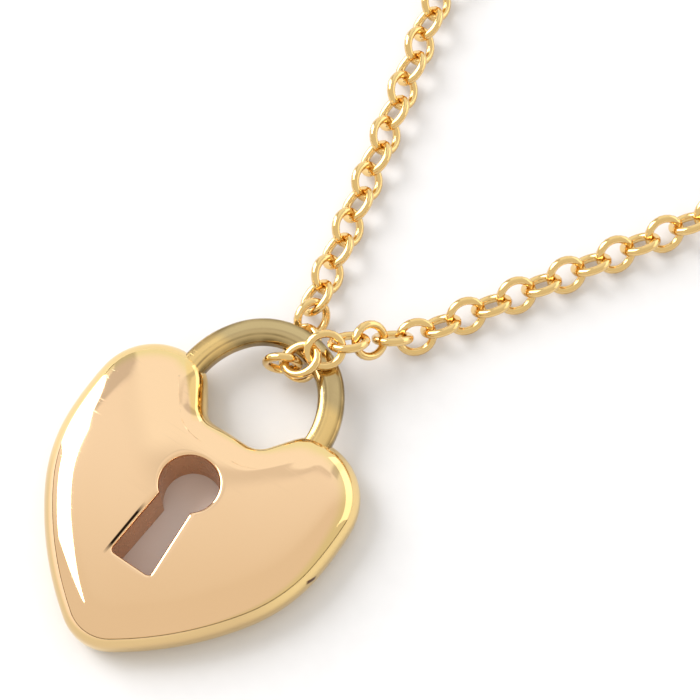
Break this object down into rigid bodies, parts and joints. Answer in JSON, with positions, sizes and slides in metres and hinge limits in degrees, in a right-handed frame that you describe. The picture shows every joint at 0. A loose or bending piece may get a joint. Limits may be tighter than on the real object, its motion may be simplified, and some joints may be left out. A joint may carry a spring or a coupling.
{
  "type": "padlock pendant necklace",
  "caption": "Gold heart padlock pendant with a keyhole cut through it and an arched shackle, on a fine round-link cable chain laid out as a whole loop.",
  "frame": {"origin": "on the axis of the keyhole's round hole, at the flat back of the heart, which rests on the surface", "axes": "+Y up the pendant from the heart's tip to the shackle, +Z out of the front of the pendant and up from the surface it lies on, +X to the right across the heart as seen from the front"},
  "size_m": [0.0895, 0.1834, 0.004],
  "materials": {
    "rose_gold": "polished rose gold",
    "shackle_gold": "polished greenish yellow gold",
    "chain_gold": "polished yellow gold"
  },
  "bodies": {
    "root": {"heart_body": "rose_gold", "shackle": "shackle_gold", "chain": "chain_gold", "clasp": "chain_gold", "end_ring": "chain_gold"}
  },
  "joints": []
}
